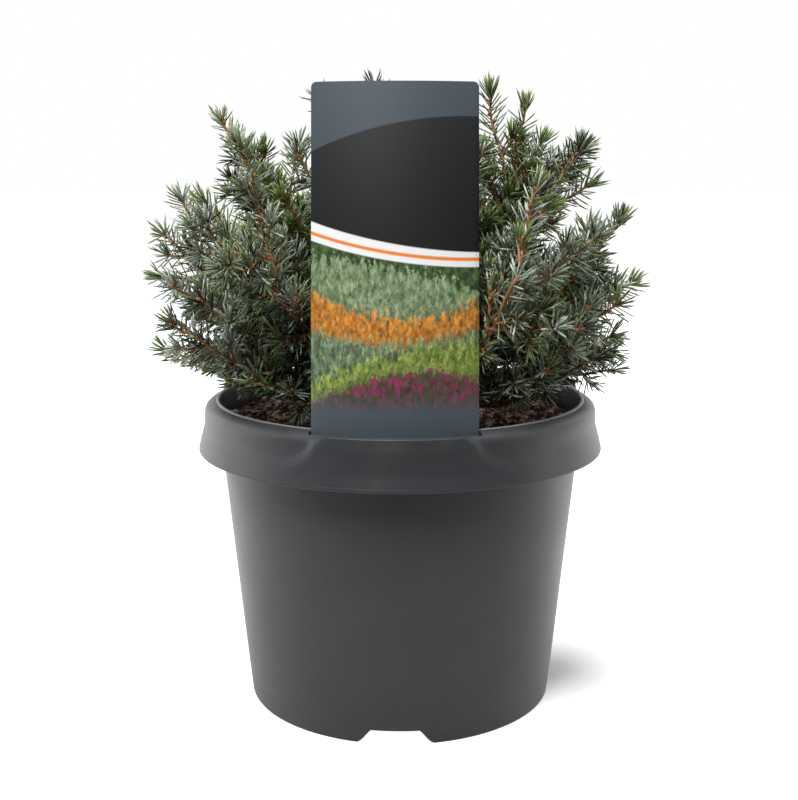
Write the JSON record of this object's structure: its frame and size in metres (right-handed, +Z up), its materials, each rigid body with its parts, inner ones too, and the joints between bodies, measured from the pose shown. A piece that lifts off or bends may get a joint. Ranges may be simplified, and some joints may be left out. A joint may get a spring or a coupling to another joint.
{
  "type": "potted echiniformis white spruce",
  "caption": "Dwarf white spruce with a dense dome of needled shoots, in a collared nursery pot filled with bark compost, with a plain label card standing in the collar's front pocket.",
  "frame": {"origin": "on the ground, under the middle of the pot, which is also the middle of the whole plant's outline", "axes": "+Z up the pot's axis; the label card and the front pocket face -Y; +X is to the right as seen from the front"},
  "size_m": [0.2339, 0.2204, 0.2927],
  "materials": {
    "pot_plastic": "satin moulded anthracite plastic",
    "compost": "loose dark bark and peat compost",
    "label_card": "printed semi-gloss card",
    "bark": "rough brown bark, orange-brown on young twigs",
    "needles": "waxy blue-green needles"
  },
  "bodies": {
    "root": {"pot": "pot_plastic", "soil": "compost", "label": "label_card", "trunk": "bark", "bough_low_1": "bark", "bough_low_2": "bark", "bough_low_3": "bark", "bough_low_4": "bark", "bough_low_5": "bark", "bough_low_6": "bark", "bough_low_7": "bark", "bough_low_8": "bark", "bough_mid_1": "bark", "bough_mid_2": "bark", "bough_mid_3": "bark", "bough_mid_4": "bark", "bough_mid_5": "bark", "bough_mid_6": "bark", "bough_high_1": "bark", "bough_high_2": "bark", "bough_high_3": "bark", "bough_high_4": "bark", "bough_top": "bark", "foliage_low_1": "needles", "foliage_low_2": "needles", "foliage_low_3": "needles", "foliage_low_4": "needles", "foliage_low_5": "needles", "foliage_low_6": "needles", "foliage_low_7": "needles", "foliage_low_8": "needles", "foliage_mid_1": "needles", "foliage_mid_2": "needles", "foliage_mid_3": "needles", "foliage_mid_4": "needles", "foliage_mid_5": "needles", "foliage_mid_6": "needles", "foliage_high_1": "needles", "foliage_high_2": "needles", "foliage_high_3": "needles", "foliage_high_4": "needles", "foliage_top": "needles"}
  },
  "joints": []
}
